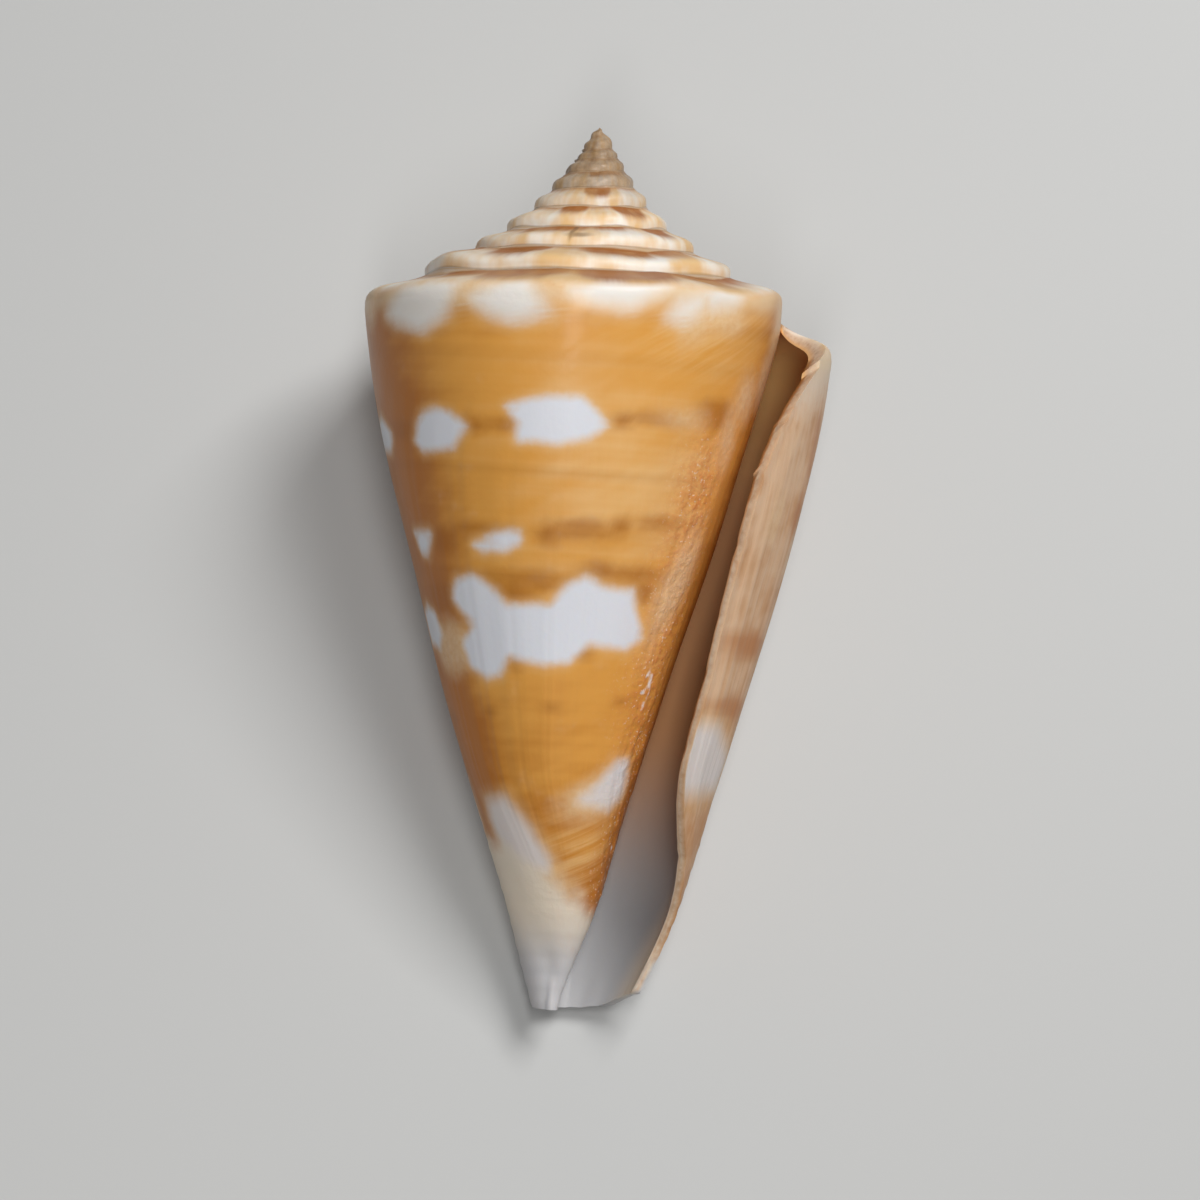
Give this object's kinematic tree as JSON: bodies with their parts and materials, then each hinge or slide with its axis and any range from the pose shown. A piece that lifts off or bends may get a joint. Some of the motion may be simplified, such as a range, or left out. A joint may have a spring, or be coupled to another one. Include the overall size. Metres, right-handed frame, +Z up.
{
  "type": "cone shell",
  "caption": "Conical seashell lying on its back, with a pointed stepped spire, a long narrow aperture and a thin bowed outer lip.",
  "frame": {"origin": "under the middle of the shell's bounding box, on the surface that it lies on", "axes": "+Y from the base towards the apex, +Z up, with the aperture on the upper side"},
  "size_m": [0.0264, 0.0486, 0.0247],
  "materials": {
    "shell": "orange brown with white blotches, satin gloss, worn in places"
  },
  "bodies": {
    "root": {"shell": "shell"}
  },
  "joints": []
}
